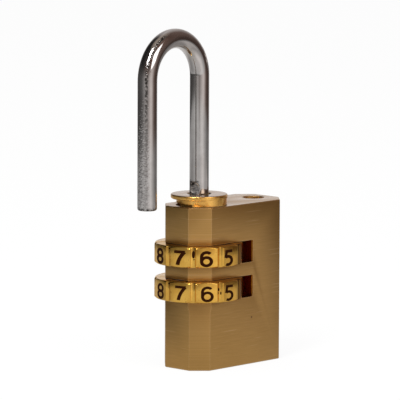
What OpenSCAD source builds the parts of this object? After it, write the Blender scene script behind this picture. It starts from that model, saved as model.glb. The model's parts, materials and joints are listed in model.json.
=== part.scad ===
// Two-dial combination padlock, shown open: the shackle is raised and swung clear.
// Millimetres, +Z up. The origin is on the spindle axis in the plane of the body's
// underside. +X runs from the dial end towards the hole for the shackle's free leg.

/* [Body] */
// Length of the body, from the dial end to the far end
body_length = 20.4; // [19.6:0.1:26]
// Thickness of the body across its two wide faces
body_width = 9.65; // [9.5:0.05:12]
// Height of the body
body_height = 25.2; // [24.9:0.1:32]
// Cut of the 45 degree corners, along each face
corner_chamfer = 2.3; // [1.2:0.1:2.6]
// Extra cut of the reading corner beside the dials
reading_cut = 0.25; // [0.1:0.05:0.5]
// How far the reading corner's extra cut runs below the lower slot
reading_runout = 1.5; // [0.8:0.1:4]
// Height of the ramp at the end of the reading corner's extra cut
reading_ramp = 0.75; // [0.3:0.05:2]
// Small bevel along the top and bottom outline
edge_break = 0.12; // [0.05:0.01:0.3]
// Brass left between the lower slot and the spring chamber
chamber_web = 0.62; // [0.5:0.02:1]
// Diameter of the spring chamber bored from below
chamber_diameter = 7; // [6.8:0.1:7.4]
// Thickness of the plug that closes the spring chamber
plug_height = 1.2; // [0.8:0.1:1.4]

/* [Dials] */
// Diameter of a number dial over its corners
dial_diameter = 13.8; // [13:0.1:15]
// Height of a number dial
dial_height = 3.15; // [2.9:0.05:3.3]
// Distance between the two dials, middle to middle
dial_pitch = 5.45; // [5.4:0.05:6]
// Height of the lower dial's middle above the underside
lower_dial_z = 12.35; // [12:0.05:13]
// Faces on a dial, one for each number
dial_faces = 10; // [10:2:10]
// How far the middle of a face lies below the dial's full radius
face_sink = 0.16; // [0.05:0.01:0.25]
// Radius of the groove between two faces
groove_radius = 0.5; // [0.4:0.05:0.6]
// Depth of the groove between two faces
groove_depth = 0.28; // [0.2:0.02:0.35]
// Bevel on the dial's top and bottom edges
dial_bevel = 0.2; // [0.1:0.05:0.35]
// Height of the drive keys inside a dial
drive_key_height = 0.6; // [0.5:0.05:0.7]
// Width of the drive keys inside a dial
drive_key_width = 0.6; // [0.4:0.05:0.7]

/* [Clutch sleeves] */
// Outside diameter of the sleeves that run through the dials
sleeve_diameter = 5.84; // [5.7:0.02:6]
// Depth of the sleeves' drive grooves
spline_depth = 0.47; // [0.4:0.01:0.5]
// Length of a sleeve above its dial's middle
sleeve_above = 1.9; // [1.8:0.05:2]
// Thickness of the gate wall inside a sleeve
gate_height = 0.9; // [0.7:0.05:1]
// Underside of the gate wall below the dial's middle
gate_drop = 1.5; // [1.4:0.05:1.6]

/* [Shackle] */
// Diameter of the shackle
shackle_diameter = 3; // [2.6:0.1:3.1]
// Distance between the shackle's two legs, axis to axis
leg_spacing = 12.35; // [12:0.05:14]
// Height at which the raised shackle's legs meet the arch
arch_z = 45.1; // [40:0.1:60]
// Rounding of the free leg's tip
tip_round = 0.35; // [0.1:0.05:0.6]
// Gap between the body and the tip of the raised free leg
tip_clearance = 0.25; // [0.2:0.05:0.5]
// How far the shackle is swung from its locking position
rest_swing = 183.6; // [178:0.1:186]
// Length of a leg's blunt end inside the arch
leg_overlap = 0.75; // [0.3:0.05:1]
// Diameter of the spindle below the full leg
spindle_diameter = 2; // [1.8:0.1:2.1]
// Height of a locking lug on the spindle
lug_height = 1; // [0.8:0.05:1.1]
// Angle that a locking lug covers
lug_angle = 40; // [30:1:46]
// Extra angle of the gate slot at each side of a lug
gate_play = 6; // [5:0.5:8]
// Depth of the scoop in the leg above the collar
scoop_depth = 0.4; // [0.3:0.05:0.6]
// Radius of the scoop
scoop_radius = 1.25; // [1:0.05:1.4]
// Height of the scoop's middle above the raised collar
scoop_height = 1.12; // [1.1:0.02:1.6]

/* [Change collar] */
// Diameter of the collar's flange
flange_diameter = 8.8; // [8.5:0.1:9.4]
// Thickness of the collar's flange
flange_height = 0.7; // [0.6:0.05:0.9]
// Rounding of the flange's rim
rim_round = 0.2; // [0.1:0.05:0.25]
// Underside of the flange above the body
flange_gap = 1; // [0.9:0.05:1.6]
// Radial gap of the countersink round the shackle
mouth_gap = 0.25; // [0.1:0.05:0.4]
// Depth of the countersink round the shackle
mouth_depth = 1; // [0.5:0.1:1.5]
// Diameter of the collar's eccentric neck
neck_diameter = 7.8; // [7.6:0.1:7.9]
// Offset of the neck's axis towards the front wide face
neck_offset = 0.5; // [0.3:0.05:0.5]
// How far the collar is pressed to free the dials
press_travel = 0.75; // [0.7:0.05:0.75]
// Diameter of the pin that keeps the collar in the body
collar_pin_diameter = 0.8; // [0.7:0.05:0.9]
// Depth of the collar's slot for that pin
pin_slot_depth = 0.6; // [0.4:0.05:0.8]
// Angle that the collar's slot covers
pin_slot_angle = 134; // [90:2:160]
// Height of the slot that shows above the body
pin_slot_show = 0.4; // [0.2:0.05:0.45]
// Solid neck under the slot
neck_wall = 1.35; // [1.2:0.05:1.5]

/* [Springs and washers] */
// Diameter of the shackle spring, from wire middle to wire middle
shackle_coil_diameter = 3.9; // [3.7:0.1:4]
// Wire of the shackle spring
shackle_wire = 0.28; // [0.22:0.02:0.32]
// Coils of the shackle spring
shackle_coils = 5; // [4:1:6]
// Wire of the reset spring
reset_wire = 0.35; // [0.28:0.01:0.4]
// Coils of the reset spring
reset_coils = 8; // [6:1:9]
// Thickness of the thrust washer
washer_height = 0.5; // [0.4:0.05:0.6]
// Thickness of the spring follower
follower_height = 0.6; // [0.5:0.05:0.7]
// Diameter of the spring follower
follower_diameter = 4.7; // [4.5:0.1:4.9]
// Thickness of the foot clip
clip_height = 0.28; // [0.2:0.02:0.35]
// Diameter of the foot clip
clip_diameter = 4.2; // [4:0.1:4.4]
// Depth of the clip's groove in the spindle
clip_groove_depth = 0.25; // [0.2:0.05:0.35]
// Angle of the foot clip's opening
clip_mouth = 70; // [50:5:90]
// Thickness of a click spring's strip
strip = 0.14; // [0.1:0.01:0.18]
// Width of a click spring's strip, along the dial's height
strip_width = 1.8; // [1.2:0.1:2.2]
// Half of a click spring's length
click_reach = 2.2; // [1.8:0.1:2.4]
// Radius of a click spring's nose
nose_radius = 0.32; // [0.25:0.01:0.35]
// Depth of a click spring's pocket in the slot's end wall
pocket_depth = 0.8; // [0.7:0.05:1]

/* [Clearances] */
// Radial gap of parts that turn or slide in a bore
running_gap = 0.08; // [0.05:0.01:0.1]
// Gap between the stacked parts of the spindle
stack_gap = 0.05; // [0.03:0.01:0.08]
// Free space under a dial in its slot
slot_floor_gap = 0.2; // [0.1:0.02:0.3]
// Free space over a dial in its slot
slot_roof_gap = 0.07; // [0.05:0.01:0.15]
// Free space between a dial and the slot's end wall
slot_end_gap = 0.23; // [0.15:0.01:0.4]
// Radial gap round the shackle's free leg in its hole
leg_hole_gap = 0.15; // [0.1:0.01:0.25]
// Chamfer at the mouth of that hole
leg_hole_chamfer = 0.12; // [0.05:0.01:0.2]
// Free space between a click spring's nose and the bottom of a dial's groove
nose_gap = 0.12; // [0.08:0.01:0.16]
// Free space left where a travel ends
end_gap = 0.15; // [0.1:0.01:0.2]

/* [Hidden] */
$fn = 96;
cut = 1;                // how far cutting shapes run past the surface
half_width = body_width / 2;
upper_dial_z = lower_dial_z + dial_pitch;
dial_radius = dial_diameter / 2;
leg_radius = shackle_diameter / 2;
sleeve_radius = sleeve_diameter / 2;
bore_radius = sleeve_radius + running_gap;
lug_bore_radius = leg_radius + end_gap;
chamber_radius = chamber_diameter / 2;

// Slots and chamber
slot_below = dial_height / 2 + slot_floor_gap;
slot_above = dial_height / 2 + slot_roof_gap;
slot_end_x = dial_radius + slot_end_gap;
chamber_z = lower_dial_z - slot_below - chamber_web;
reading_end_z = lower_dial_z - slot_below - reading_runout;

// Stack on the spindle; the sleeves, the spacer and the collar's stem touch end to end
sleeve_below = lower_dial_z - chamber_z;
lift_travel = dial_pitch - stack_gap;
stem_z = upper_dial_z + sleeve_above + stack_gap;
spline_top = drive_key_height / 2;
washer_top_z = chamber_z - stack_gap;
clip_top_z = washer_top_z - washer_height - stack_gap;
follower_top_z = clip_top_z - clip_height - stack_gap;
follower_z = follower_top_z - follower_height;

// Spindle
spindle_radius = spindle_diameter / 2;
lug_drop = gate_drop + end_gap + lug_height - lift_travel;
shoulder_z = upper_dial_z - gate_drop + gate_height + lift_travel + end_gap;
spindle_end_z = follower_z + end_gap;
clip_groove_radius = spindle_radius - clip_groove_depth;
tip_z = body_height + tip_clearance;

// Collar
flange_z = body_height + flange_gap;
collar_top_z = flange_z + flange_height;
neck_radius = neck_diameter / 2;
pin_radius = collar_pin_diameter / 2;
pin_slot_top_z = body_height + pin_slot_show;
pin_z = pin_slot_top_z - press_travel - end_gap - pin_radius;
pin_slot_z = pin_z - pin_radius - stack_gap;
neck_z = pin_slot_z - neck_wall;
counterbore_z = neck_z - press_travel - end_gap;
pin_angle = 135;        // the pin comes in through the rear corner at the dial end

// Leg hole for the free leg
leg_hole_radius = leg_radius + leg_hole_gap;
leg_hole_z = tip_z - lift_travel - press_travel - end_gap;

// Click springs
nose_x = dial_radius - groove_depth + nose_radius + nose_gap;
pocket_x = slot_end_x + pocket_depth;

// Springs
shackle_coil_radius = shackle_coil_diameter / 2;
reset_coil_radius = (follower_diameter / 2 + chamber_radius) / 2;
rings_per_coil = 8;
wire_sides = 6;

// A round hole or shaft along Z between two heights
module rod(radius, z_from, z_to) {
    translate([0, 0, z_from]) cylinder(r = radius, h = z_to - z_from);
}

// A ring along Z between two heights
module tube(outer, inner, z_from, z_to) {
    difference() {
        rod(outer, z_from, z_to);
        rod(inner, z_from - cut, z_to + cut);
    }
}

// A slice of a disc, centred on the +X direction
module sector(radius, sweep, z_from, z_to) {
    translate([0, 0, z_from])
        rotate([0, 0, -sweep / 2])
            rotate_extrude(angle = sweep) square([radius, z_to - z_from]);
}

// Outline of the body, drawn in by an inset; its chamfers shrink by 2 - sqrt(2) of it
function outline(inset) =
    let (
        x0 = -half_width + inset,
        x1 = body_length - half_width - inset,
        y1 = half_width - inset,
        c = corner_chamfer - (2 - sqrt(2)) * inset
    )
    [
        [x0 + c, -y1], [x1 - c, -y1], [x1, -y1 + c], [x1, y1 - c],
        [x1 - c, y1], [x0 + c, y1], [x0, y1 - c], [x0, -y1 + c]
    ];

module block() {
    hull() {
        linear_extrude(body_height) polygon(outline(edge_break));
        translate([0, 0, edge_break])
            linear_extrude(body_height - 2 * edge_break) polygon(outline(0));
    }
}

// The reading corner is milled deeper beside the dials and runs out below them
module reading_corner() {
    chamfer_plane = (2 * half_width - corner_chamfer) / sqrt(2);
    cut_plane = chamfer_plane - reading_cut / sqrt(2);
    rotate([0, 0, 225]) rotate([90, 0, 0])
        linear_extrude(2 * body_width, center = true)
            polygon([
                [cut_plane, body_height + cut], [cut_plane, reading_end_z + reading_ramp],
                [chamfer_plane, reading_end_z], [2 * body_width, reading_end_z],
                [2 * body_width, body_height + cut]
            ]);
}

module dial_slot(dial_z) {
    translate([-body_width, -body_width, dial_z - slot_below])
        cube([body_width + slot_end_x, 2 * body_width, slot_below + slot_above]);
}

// Room for a click spring in the slot's end wall
module click_pocket(dial_z) {
    half = click_reach + stack_gap;
    translate([slot_end_x - cut, -half, dial_z - strip_width / 2 - stack_gap])
        cube([pocket_depth + cut, 2 * half, strip_width + 2 * stack_gap]);
}

// The line that the collar pin follows, out through the rear corner
module on_pin_line() {
    translate([0, -neck_offset, pin_z]) rotate([0, 0, pin_angle]) rotate([0, 90, 0]) children();
}

module body() {
    color([0.71, 0.56, 0.29])
        difference() {
            block();
            reading_corner();
            for (dial_z = [lower_dial_z, upper_dial_z]) {
                dial_slot(dial_z);
                click_pocket(dial_z);
            }
            rod(bore_radius, chamber_z - cut, counterbore_z + cut);
            rod(chamber_radius, -cut, chamber_z);
            translate([0, -neck_offset, 0])
                rod(neck_radius + running_gap, counterbore_z, body_height + cut);
            translate([leg_spacing, 0, 0]) rod(leg_hole_radius, leg_hole_z, body_height + cut);
            translate([leg_spacing, 0, body_height - leg_hole_chamfer])
                cylinder(r1 = leg_hole_radius, r2 = leg_hole_radius + 2 * leg_hole_chamfer,
                         h = 2 * leg_hole_chamfer);
            on_pin_line() cylinder(r = pin_radius, h = body_width);
        }
}

module bottom_plug() {
    color([0.68, 0.53, 0.27]) rod(chamber_radius, 0, plug_height);
}

// Pressed in flush with the rear corner; its nose stands in the collar's slot
module collar_pin() {
    nose = neck_radius - pin_slot_depth + end_gap;
    flush = (2 * half_width - corner_chamfer + neck_offset) / sqrt(2);
    color([0.62, 0.62, 0.62])
        on_pin_line() translate([0, 0, nose]) cylinder(r = pin_radius, h = flush - nose);
}

// One arm of a click spring, from the nose out to the pocket's back wall
module click_arm() {
    tip = [pocket_x - strip - stack_gap, click_reach - strip / 2];
    root = [nose_x, nose_radius - strip / 2];
    span = tip - root;
    translate(root) circle(strip / 2);
    translate(root)
        rotate(atan2(span[1], span[0]))
            translate([0, -strip / 2]) square([norm(span), strip]);
}

// Bent strip with a round nose that drops into a groove of the dial
module click_spring(dial_z) {
    color([0.70, 0.70, 0.72])
        translate([0, 0, dial_z - strip_width / 2])
            linear_extrude(strip_width) {
                translate([nose_x, 0]) difference() {
                    circle(nose_radius);
                    circle(nose_radius - strip);
                    translate([0, -nose_radius]) square(2 * nose_radius);
                }
                click_arm();
                mirror([0, 1]) click_arm();
            }
}

module click_spring_upper() {
    click_spring(upper_dial_z);
}

module click_spring_lower() {
    click_spring(lower_dial_z);
}

// Turned ring with a face and a groove for each number, and keys that drive the sleeve
module dial(dial_z) {
    step = 360 / dial_faces;
    half = dial_height / 2;
    face_radius = dial_radius - face_sink;
    key_radius = sleeve_radius - spline_depth + running_gap;
    color([0.85, 0.66, 0.25])
        translate([0, 0, dial_z]) {
            difference() {
                intersection() {
                    rotate_extrude() polygon([
                        [bore_radius, -half], [dial_radius - dial_bevel, -half],
                        [dial_radius, -half + dial_bevel], [dial_radius, half - dial_bevel],
                        [dial_radius - dial_bevel, half], [bore_radius, half]
                    ]);
                    rotate([0, 0, step / 2 + 90])
                        cylinder(r = face_radius / cos(step / 2), h = 2 * dial_height,
                                 center = true, $fn = dial_faces);
                }
                for (number = [0 : dial_faces - 1])
                    rotate([0, 0, number * step])
                        translate([dial_radius - groove_depth + groove_radius, 0, -dial_height])
                            cylinder(r = groove_radius, h = 2 * dial_height);
            }
            for (side = [0, 180])
                rotate([0, 0, side])
                    translate([key_radius, -drive_key_width / 2, -drive_key_height / 2])
                        cube([bore_radius - key_radius + end_gap, drive_key_width, drive_key_height]);
        }
}

module dial_upper() {
    dial(upper_dial_z);
}

module dial_lower() {
    dial(lower_dial_z);
}

// Sleeve with drive grooves outside and a gate wall inside; a lug passes only at the slot
module clutch_sleeve(dial_z) {
    step = 360 / dial_faces;
    gate_z = -gate_drop;
    groove_width = drive_key_width + 2 * running_gap;
    color([0.80, 0.68, 0.40])
        translate([0, 0, dial_z])
            difference() {
                union() {
                    tube(sleeve_radius, lug_bore_radius, -sleeve_below, spline_top);
                    tube(sleeve_radius - spline_depth, lug_bore_radius, 0, sleeve_above);
                    tube(sleeve_radius - spline_depth, spindle_radius + end_gap,
                         gate_z, gate_z + gate_height);
                }
                for (number = [0 : dial_faces - 1])
                    rotate([0, 0, number * step])
                        translate([sleeve_radius - spline_depth, -groove_width / 2, -sleeve_below - cut])
                            cube([cut, groove_width, sleeve_below + spline_top + 2 * cut]);
                rotate([0, 0, 180])
                    sector(lug_bore_radius, lug_angle + 2 * gate_play,
                           gate_z - end_gap, gate_z + gate_height + end_gap);
            }
}

module clutch_sleeve_upper() {
    clutch_sleeve(upper_dial_z);
}

module clutch_sleeve_lower() {
    clutch_sleeve(lower_dial_z);
}

// Ring between the two sleeves that keeps them one dial pitch apart
module sleeve_spacer() {
    color([0.72, 0.60, 0.36])
        tube(sleeve_radius, lug_bore_radius,
             lower_dial_z + sleeve_above + stack_gap, upper_dial_z - sleeve_below - stack_gap);
}

// Rounded flange over an eccentric neck, with a stem that pushes on the sleeves
module change_collar() {
    flange_radius = flange_diameter / 2;
    mouth_radius = leg_radius + mouth_gap;
    color([0.86, 0.62, 0.24])
        difference() {
            union() {
                translate([0, 0, flange_z])
                    rotate_extrude() {
                        square([flange_radius - rim_round, flange_height]);
                        translate([0, rim_round]) square([flange_radius, flange_height - 2 * rim_round]);
                        for (level = [rim_round, flange_height - rim_round])
                            translate([flange_radius - rim_round, level]) circle(rim_round);
                    }
                translate([0, -neck_offset, 0]) rod(neck_radius, neck_z, flange_z + rim_round);
                rod(sleeve_radius, stem_z, neck_z + rim_round);
            }
            rod(leg_radius + running_gap, stem_z - cut, collar_top_z + cut);
            rod(lug_bore_radius, stem_z - cut, shoulder_z - lug_height);
            rod(mouth_radius, collar_top_z - mouth_depth, collar_top_z + cut);
            translate([0, 0, collar_top_z - rim_round])
                cylinder(r1 = mouth_radius, r2 = mouth_radius + 2 * rim_round, h = 2 * rim_round);
            translate([0, -neck_offset, 0])
                rotate([0, 0, pin_angle])
                    difference() {
                        sector(neck_radius + cut, pin_slot_angle, pin_slot_z, pin_slot_top_z);
                        rod(neck_radius - pin_slot_depth, pin_slot_z - cut, pin_slot_top_z + cut);
                    }
        }
}

// Carries the sleeves; its edge stops under the step at the top of the chamber
module thrust_washer() {
    color([0.66, 0.66, 0.68])
        tube(chamber_radius - running_gap, lug_bore_radius,
             washer_top_z - washer_height, washer_top_z);
}

// The bent rod: free leg, arch, long leg, and the spindle with its two lugs
module shackle() {
    color([0.78, 0.78, 0.80])
        rotate([0, 0, rest_swing])
            difference() {
                union() {
                    rotate_extrude() long_leg_profile();
                    for (dial_z = [lower_dial_z, upper_dial_z])
                        sector(leg_radius, lug_angle, dial_z - lug_drop, dial_z - lug_drop + lug_height);
                    translate([leg_spacing / 2, 0, arch_z])
                        rotate([90, 0, 0])
                            rotate_extrude(angle = 180)
                                translate([leg_spacing / 2, 0]) circle(leg_radius);
                    translate([leg_spacing, 0, 0]) rotate_extrude() free_leg_profile();
                }
                translate([0, 0, clip_top_z - clip_height - stack_gap])
                    tube(leg_radius, clip_groove_radius, 0, clip_height + 2 * stack_gap);
                leg_scoop();
            }
}

// Half profile of a leg's blunt end, which stands inside the arch and ties the two together
module leg_end_profile() {
    polygon([
        [0, arch_z], [leg_radius, arch_z],
        [leg_radius - leg_overlap / 2, arch_z + leg_overlap], [0, arch_z + leg_overlap]
    ]);
}

// Half profile of the long leg and the thinner spindle below its shoulder
module long_leg_profile() {
    leg_z = shoulder_z + leg_radius - spindle_radius;
    polygon([
        [0, spindle_end_z], [spindle_radius, spindle_end_z], [spindle_radius, shoulder_z],
        [leg_radius, leg_z], [leg_radius, arch_z], [0, arch_z]
    ]);
    leg_end_profile();
}

// Half profile of the free leg with its rounded tip
module free_leg_profile() {
    translate([0, tip_z + tip_round]) square([leg_radius, arch_z - tip_z - tip_round]);
    translate([0, tip_z]) square([leg_radius - tip_round, arch_z - tip_z]);
    intersection() {
        translate([leg_radius - tip_round, tip_z + tip_round]) circle(tip_round);
        translate([0, tip_z]) square([leg_radius, arch_z - tip_z]);
    }
    leg_end_profile();
}

// Hollow in the long leg just above the raised collar, on the free leg's side
module leg_scoop() {
    translate([leg_radius - scoop_depth + scoop_radius, 0, collar_top_z + scoop_height])
        rotate([90, 0, 0])
            cylinder(r = scoop_radius, h = 2 * shackle_diameter, center = true);
}

// Open ring snapped into the spindle's groove; it stops the raised shackle
module foot_clip() {
    color([0.60, 0.60, 0.63])
        rotate([0, 0, rest_swing])
            difference() {
                tube(clip_diameter / 2, clip_groove_radius + stack_gap / 2,
                     clip_top_z - clip_height, clip_top_z);
                sector(clip_diameter, clip_mouth, clip_top_z - clip_height - cut, clip_top_z + cut);
            }
}

// Cup that carries the spring's push to the spindle's foot
module spring_follower() {
    rim_wall = follower_diameter / 2 - shackle_coil_radius - shackle_wire / 2 - stack_gap;
    color([0.70, 0.60, 0.40]) {
        tube(follower_diameter / 2, spindle_radius + running_gap, follower_z, follower_top_z);
        tube(follower_diameter / 2, follower_diameter / 2 - rim_wall,
             follower_z - shackle_wire, follower_z);
    }
}

// Round wire wound in a helix between two seats, as one unbroken tube
module coil_spring(coil_radius, wire, coils, z_from, z_to) {
    rise = z_to - z_from - wire;
    count = coils * rings_per_coil;
    slope = atan2(rise / coils, 2 * PI * coil_radius);
    points = [
        for (ring = [0 : count]) let (
            turn = 360 * ring / rings_per_coil,
            z = z_from + wire / 2 + rise * ring / count
        )
        for (side = [0 : wire_sides - 1]) let (
            around = 360 * side / wire_sides,
            out = coil_radius + wire / 2 * cos(around),
            lean = wire / 2 * sin(around) * sin(slope)
        )
        [
            out * cos(turn) + lean * sin(turn), out * sin(turn) - lean * cos(turn),
            z + wire / 2 * sin(around) * cos(slope)
        ]
    ];
    walls = [
        for (ring = [0 : count - 1], side = [0 : wire_sides - 1], half = [0, 1]) let (
            a = ring * wire_sides + side,
            b = ring * wire_sides + (side + 1) % wire_sides
        )
        half == 0 ? [a, a + wire_sides, b] : [b, a + wire_sides, b + wire_sides]
    ];
    ends = [
        for (side = [1 : wire_sides - 2]) [0, side, side + 1],
        for (side = [1 : wire_sides - 2]) [for (corner = [0, side + 1, side]) count * wire_sides + corner]
    ];
    polyhedron(points, concat(walls, ends));
}

module reset_spring() {
    color([0.66, 0.66, 0.70])
        coil_spring(reset_coil_radius, reset_wire, reset_coils, plug_height, washer_top_z - washer_height);
}

module shackle_spring() {
    color([0.66, 0.66, 0.70])
        coil_spring(shackle_coil_radius, shackle_wire, shackle_coils, plug_height, follower_z);
}

// The clear gap between neighbouring coils of each spring
function coil_gap(wire, coils, length) = (length - wire) / coils - wire;
echo(reset_spring_gap = coil_gap(reset_wire, reset_coils, washer_top_z - washer_height - plug_height));
echo(shackle_spring_gap = coil_gap(shackle_wire, shackle_coils, follower_z - plug_height));

body();
bottom_plug();
collar_pin();
click_spring_upper();
click_spring_lower();
dial_upper();
dial_lower();
clutch_sleeve_upper();
clutch_sleeve_lower();
sleeve_spacer();
change_collar();
thrust_washer();
reset_spring();
shackle();
foot_clip();
spring_follower();
shackle_spring();
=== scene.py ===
"""Two-dial combination padlock: edges, numerals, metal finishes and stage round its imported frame."""

import json
import math

import bmesh
import bpy
from bpy.props import FloatProperty, FloatVectorProperty, PointerProperty
from mathutils import Matrix, Vector


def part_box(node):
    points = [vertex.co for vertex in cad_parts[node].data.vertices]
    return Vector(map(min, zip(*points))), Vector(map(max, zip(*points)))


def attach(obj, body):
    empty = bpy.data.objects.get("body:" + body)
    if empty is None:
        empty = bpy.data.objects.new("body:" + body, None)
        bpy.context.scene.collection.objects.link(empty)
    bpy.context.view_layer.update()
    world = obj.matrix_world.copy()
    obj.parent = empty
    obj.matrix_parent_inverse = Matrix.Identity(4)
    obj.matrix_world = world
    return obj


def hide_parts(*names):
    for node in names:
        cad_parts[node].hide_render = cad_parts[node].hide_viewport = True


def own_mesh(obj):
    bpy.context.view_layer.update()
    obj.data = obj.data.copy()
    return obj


bl_info = {
    "name": "Two-Dial Padlock",
    "version": (1, 0, 0),
    "blender": (4, 5, 0),
    "location": "3D View > Sidebar > Padlock",
    "description": "Dresses the frame of an open two-dial brass padlock with its finishes and stage",
    "category": "Object",
}

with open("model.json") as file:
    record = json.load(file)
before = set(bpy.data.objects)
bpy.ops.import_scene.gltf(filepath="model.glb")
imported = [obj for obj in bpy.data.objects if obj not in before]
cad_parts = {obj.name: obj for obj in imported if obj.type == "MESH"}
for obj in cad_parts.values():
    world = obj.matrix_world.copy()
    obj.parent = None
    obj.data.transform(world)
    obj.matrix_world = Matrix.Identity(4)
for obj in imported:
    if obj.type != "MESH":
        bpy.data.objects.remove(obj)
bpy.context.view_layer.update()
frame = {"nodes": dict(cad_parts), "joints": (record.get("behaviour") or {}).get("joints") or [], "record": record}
LEG_MOUNT = next(mount for mount in frame["record"]["mounts"] if mount["name"] == "shackle_bar")
FREE_LEG = (*LEG_MOUNT["pos_m"][:2], 0.0)       # axis of the raised free leg
LEG_RADIUS = LEG_MOUNT["dims"]["r_mm"] / 1000
ARCH_CENTRE = (FREE_LEG[0] / 2, 0.0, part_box("shackle")[1].z + FREE_LEG[0] / 2 - LEG_RADIUS)
COLLAR_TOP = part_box("change_collar")[1].z
BLOCK_LOW, BLOCK_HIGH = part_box("body")
CORNER_CUT = 0.0023             # the block's 45 degree corners, along each face
TOP_FACING = 0.7                # a face that looks up by more than this counts as a top
TIP_HEIGHT = BLOCK_HIGH.z + 0.00025
SLOT_ZONE = (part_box("dial_lower")[0].z - 0.0006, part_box("dial_upper")[1].z + 0.0006)
DIE_MARK_BEARING, DIE_MARK_HEIGHT = -45, 0.0454     # dent that the bending die left on the long leg
SEAM_BEARING = -22              # where the drawing seam runs down the long leg, from the camera's side
WORN_EDGE = (-88, -30)          # left edge of the free leg's worn column, at its foot and higher up
WORN_MIDDLE, WORN_RIGHT = -6, 8        # middle of its darkest marks, and its right edge
WORN_RISE = (COLLAR_TOP + 0.005, COLLAR_TOP + 0.019)     # heights between which it draws together
# Dirt and painted shade in the scoop: bearing, height above the collar, reach and strength
SCOOP_DIRT_AND_SHADE = (
    (-62, 0.00160, 0.00062, 1.0), (-15, 0.00198, 0.00028, 0.9), (-70, 0.00040, 0.00050, 0.6),
    (-30, 0.00105, 0.00110, 0.3), (55, 0.00020, 0.00035, 0.6),
)
CAD_FINISHES = {
    "body_brass": ("bottom_plug",),
    "inner_brass": ("clutch_sleeve_upper", "clutch_sleeve_lower", "sleeve_spacer", "spring_follower"),
    "spring_steel": (
        "collar_pin", "click_spring_upper", "click_spring_lower", "thrust_washer", "foot_clip",
    ),
}

# Each numeral is drawn with a flat pen in a box one unit high: where a stroke starts, its
# heading in degrees, and its moves, each a length and the angle turned to the left on the way.
BOWL = 0.31             # radius of the round parts
LOOP = 0.25             # radius of the smaller, upper loop of 3 and 8
RACE = 1 - 2 * BOWL     # straight side between two round ends


def arc(radius, angle):
    """A move along an arc; a negative angle turns right."""
    return (radius * math.radians(abs(angle)), angle)


# The numeral 6, which turned upside down is also 9
SIX = [
    ((0, 0), 0, [arc(BOWL, 360)]),
    ((-BOWL, BOWL), 90, [(RACE, 0), arc(BOWL, -140)]),
]
NUMERALS = [
    [((-BOWL, BOWL), 90, [(RACE, 0), arc(BOWL, -180), (RACE, 0), arc(BOWL, -180)])],
    [((0.08, 0), 90, [(1, 0)]), ((0.08, 0.98), 220, [(0.32, 0)])],
    [
        ((-BOWL, 1 - BOWL), 80, [arc(BOWL, -225), (0.66, -12)]),
        ((-BOWL, 0), 0, [(2 * BOWL, 0)]),
    ],
    [
        ((-0.23, 0.85), 65, [arc(LOOP, -245)]),
        ((0, 2 * BOWL - 0.08), 0, [arc(BOWL - 0.04, -250)]),
    ],
    [
        ((0.14, 0), 90, [(1, 0)]),
        ((0.14, 0.98), 237, [(0.83, 0)]),
        ((-0.34, 0.28), 0, [(0.7, 0)]),
    ],
    [
        ((0.28, 1), 180, [(0.59, 0)]),
        ((-0.2, 1.03), 261, [(0.52, 0)]),
        ((-0.27, 0.54), 38, [arc(BOWL, -250)]),
    ],
    SIX,
    [((-BOWL, 1), 0, [(2 * BOWL, 0)]), ((BOWL - 0.03, 1), 232, [(1.08, 32)])],
    [
        ((0, 2 * LOOP), 0, [arc(LOOP, 360)]),
        ((0, 0), 0, [arc(LOOP + 0.02, 360)]),
    ],
    SIX,
]
WIDER = {5: 1.08, 7: 1.2, 8: 1.15}      # numerals that are wider than the pen's box
STROKE_STEP = 0.000004                  # each stroke's paint lies this much over the one before
BEND_STEP = 9                           # degrees of a bend that each step of a stroke takes in

SHIFTED = {5: -0.00033}                 # numerals that stand off the middle of their face
DIAL_SHIFT = {"upper": -0.00008, "lower": 0.00008}      # sideways shift of each dial's numerals
DIAL_PEN = {"upper": 1.0, "lower": 0.88}                # width of each dial's strokes
FACE_ANGLE = math.radians(36)           # turn of a dial from one number to the next
GROOVE_DEPTH = 0.00028
SLOT_SHADED_GROOVE = -69.5                    # bearing of the dials' groove that gets a painted shadow from the slot's edge, round from +X
BLOT_LIFT = 0.00006                     # how high a blot's middle lies over the groove's bottom
BLOT_THICKNESS = 0.00016
INK_PROUD = 0.000008                    # how far the paint stands out of the dial's face
# Ink left in the grooves: dial, bearing of the groove, then place and size across and up it
INK_BLOTS = [
    ("upper", -144, (0.0, 0.00048), (0.00044, 0.00115)),
    ("upper", -144, (0.00005, -0.00030), (0.00012, 0.00016)),
    ("upper", 180, (0.0, 0.00120), (0.00018, 0.00022)),
    ("lower", -108, (-0.00012, 0.00045), (0.00022, 0.00048)),
    ("lower", -108, (0.00022, -0.00015), (0.00024, 0.00050)),
    ("lower", 180, (-0.00005, 0.00118), (0.00020, 0.00024)),
]
SAME_PLACE = 0.000001                   # corners closer than this are merged
FLAT_ENOUGH = math.radians(0.6)         # faces that meet at less than this are made one
SHADING_CREASE = math.radians(32)       # edges sharper than this are shaded sharp
COLOUR = {"subtype": "COLOR", "min": 0, "max": 1}


class BlockFinish(bpy.types.PropertyGroup):
    """Brushed brass block"""

    edge_break: FloatProperty(
        name="Edge break", description="Width of the rounding on the block's edges",
        default=0.00009, min=0.0, max=0.0004, unit="LENGTH",
    )
    brass: FloatVectorProperty(
        name="Brass", description="Colour of the brushed brass between its scratches",
        default=(0.60, 0.352, 0.112), **COLOUR,
    )
    brass_dull: FloatVectorProperty(
        name="Dull brass", description="Colour at the bottom of the brushing",
        default=(0.50, 0.288, 0.086), **COLOUR,
    )
    grain_length: FloatProperty(
        name="Grain length", description="Typical length of a brushed line",
        default=0.003, min=0.001, max=0.02, unit="LENGTH",
    )
    grain_width: FloatProperty(
        name="Grain width", description="Typical width of a brushed line",
        default=0.00011, min=0.00002, max=0.001, unit="LENGTH",
    )
    pit: FloatVectorProperty(
        name="Pit", description="Place of the small casting pit in the front face",
        default=(0.00687, -0.004825, 0.00734), subtype="TRANSLATION",
    )


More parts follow.
